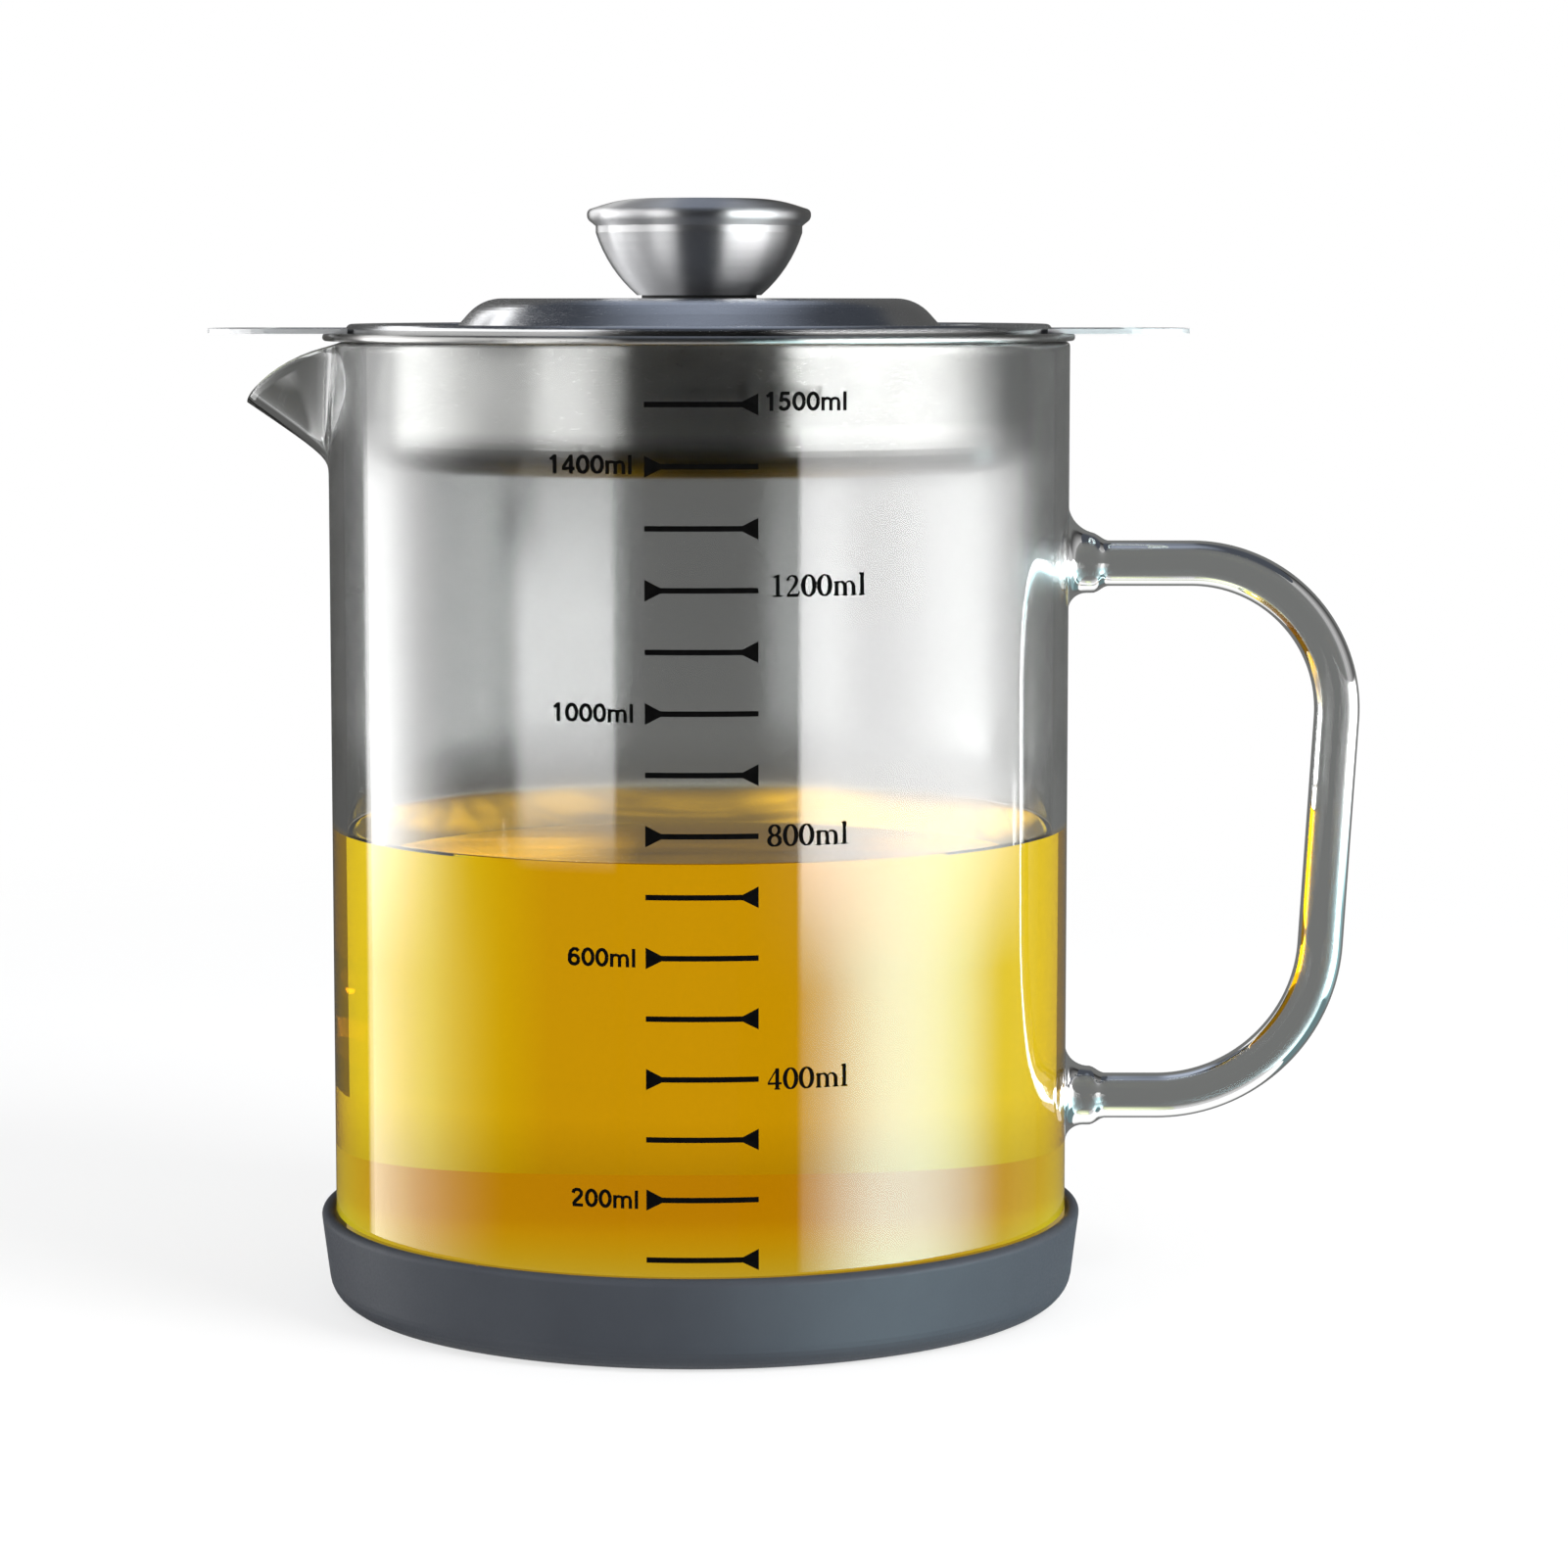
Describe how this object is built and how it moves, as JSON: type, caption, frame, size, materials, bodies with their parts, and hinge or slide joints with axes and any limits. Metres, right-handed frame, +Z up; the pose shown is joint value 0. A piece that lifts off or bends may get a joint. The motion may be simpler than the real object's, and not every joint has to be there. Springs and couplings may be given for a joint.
{
  "type": "oil straining jug",
  "caption": "Glass oil jug with a pulled spout and a bent rod handle, in a silicone base, with a lift-out steel strainer and a lift-off steel lid with a knob.",
  "frame": {"origin": "centre of the silicone base's flat underside, on the jug's axis", "axes": "+Z up along the jug's axis, +X towards the handle, -X towards the spout"},
  "size_m": [0.1868, 0.1248, 0.1792],
  "materials": {
    "silicone": "matt moulded silicone",
    "jug_glass": "clear borosilicate glass",
    "handle_glass": "clear borosilicate glass",
    "strainer_steel": "fine brushed, turned round the axis",
    "net_steel": "plain wire",
    "ear_steel": "fine brushed along the ear",
    "lid_steel": "satin",
    "gasket": "matt",
    "knob_steel": "spun and brushed round the axis",
    "fastener_steel": "plain"
  },
  "bodies": {
    "base": {"silicone_base": "silicone"},
    "jug": {"glass_jug": "jug_glass", "glass_handle": "handle_glass"},
    "strainer": {"strainer_cup": "strainer_steel", "strainer_net": "net_steel", "net_ring": "strainer_steel", "left_ear": "ear_steel", "right_ear": "ear_steel"},
    "lid": {"lid_shell": "lid_steel", "knob_gasket": "gasket", "knob_cup": "knob_steel", "knob_cap": "knob_steel", "knob_nut": "fastener_steel", "lid_screw": "fastener_steel", "screw_washer": "fastener_steel"}
  },
  "joints": [
    {"name": "jug_lift", "type": "slide", "parent": "base", "child": "jug", "axis": [0, 0, 1], "range_m": [0, 0.03]},
    {"name": "strainer_lift", "type": "slide", "parent": "jug", "child": "strainer", "axis": [0, 0, 1], "range_m": [0, 0.06]},
    {"name": "lid_lift", "type": "slide", "parent": "strainer", "child": "lid", "axis": [0, 0, 1], "range_m": [0, 0.05]}
  ]
}
